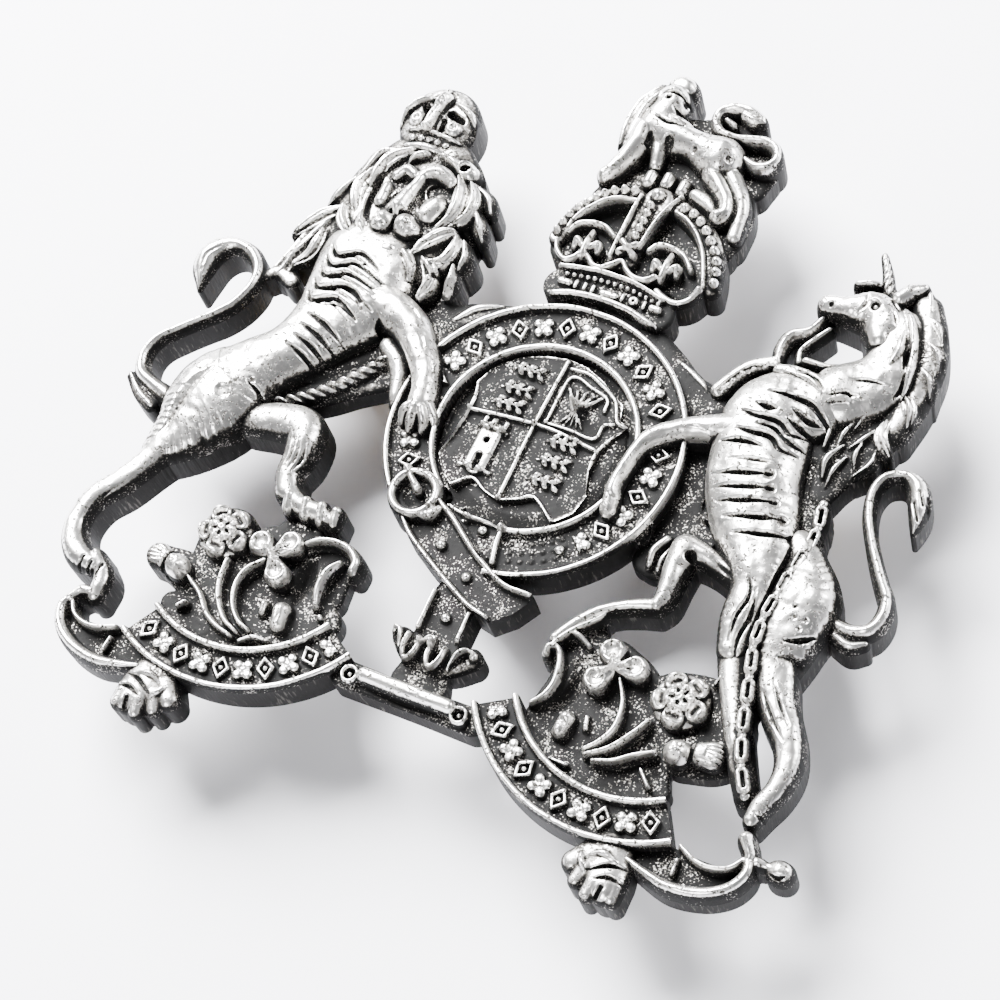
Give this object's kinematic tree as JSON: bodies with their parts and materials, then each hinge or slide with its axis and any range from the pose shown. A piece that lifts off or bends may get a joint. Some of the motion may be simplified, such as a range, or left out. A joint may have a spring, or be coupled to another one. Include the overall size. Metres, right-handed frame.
{
  "type": "cap badge",
  "caption": "Openwork cast badge for a cap: a crowned lion and a unicorn beside a crowned belt on scrolls, with two loop lugs and a sliding split pin on its back.",
  "frame": {"origin": "on the flat back face, behind the centre of the round belt", "axes": "+Z out of the badge's face, +Y towards the crown, +X towards the unicorn"},
  "size_m": [0.0564, 0.0569, 0.011],
  "materials": {
    "cast_metal": "antiqued cast white metal, polished on its high points and darkened in its recesses",
    "lug_brass": "drawn brass wire and pressed brass foot, dulled",
    "solder": "dull soft solder",
    "pin_brass": "folded half-round brass wire"
  },
  "bodies": {
    "badge": {"belt_buckle": "cast_metal", "belt_field": "cast_metal", "belt_ring": "cast_metal", "belt_strap": "cast_metal", "buckle_tongue": "cast_metal", "crest_lion": "cast_metal", "crest_tail": "cast_metal", "crown_arches": "cast_metal", "crown_cap": "cast_metal", "crown_circlet": "cast_metal", "flower_ground_left": "cast_metal", "flower_ground_right": "cast_metal", "fold_left": "cast_metal", "fold_right": "cast_metal", "leaf_left": "cast_metal", "leaf_right": "cast_metal", "lion_coronet": "cast_metal", "lion_foreleg": "cast_metal", "lion_head": "cast_metal", "lion_hind_leg": "cast_metal", "lion_mane": "cast_metal", "lion_near_leg": "cast_metal", "lion_tail": "cast_metal", "lion_torso": "cast_metal", "lug_foot_left": "lug_brass", "lug_foot_right": "lug_brass", "lug_left": "lug_brass", "lug_right": "lug_brass", "lug_solder_left": "solder", "lug_solder_right": "solder", "rose_left": "cast_metal", "rose_right": "cast_metal", "scroll_left": "cast_metal", "scroll_right": "cast_metal", "shamrock_left": "cast_metal", "shamrock_right": "cast_metal", "shield": "cast_metal", "strap_end": "cast_metal", "strap_tip": "cast_metal", "thistle_left": "cast_metal", "thistle_right": "cast_metal", "tie_bar": "cast_metal", "unicorn_beard": "cast_metal", "unicorn_chain": "cast_metal", "unicorn_far_leg": "cast_metal", "unicorn_haunch": "cast_metal", "unicorn_head": "cast_metal", "unicorn_hind_leg": "cast_metal", "unicorn_horn": "cast_metal", "unicorn_lower_foreleg": "cast_metal", "unicorn_mane": "cast_metal", "unicorn_neck": "cast_metal", "unicorn_tail": "cast_metal", "unicorn_torso": "cast_metal", "unicorn_upper_foreleg": "cast_metal", "web_belly": "cast_metal", "web_right": "cast_metal", "web_upper_left": "cast_metal", "web_upper_right": "cast_metal"},
    "pin": {"split_pin": "pin_brass"}
  },
  "joints": [
    {"name": "pin_slide", "type": "slide", "parent": "badge", "child": "pin", "axis": [-1, 0, 0], "range_m": [0, 0.036]}
  ]
}
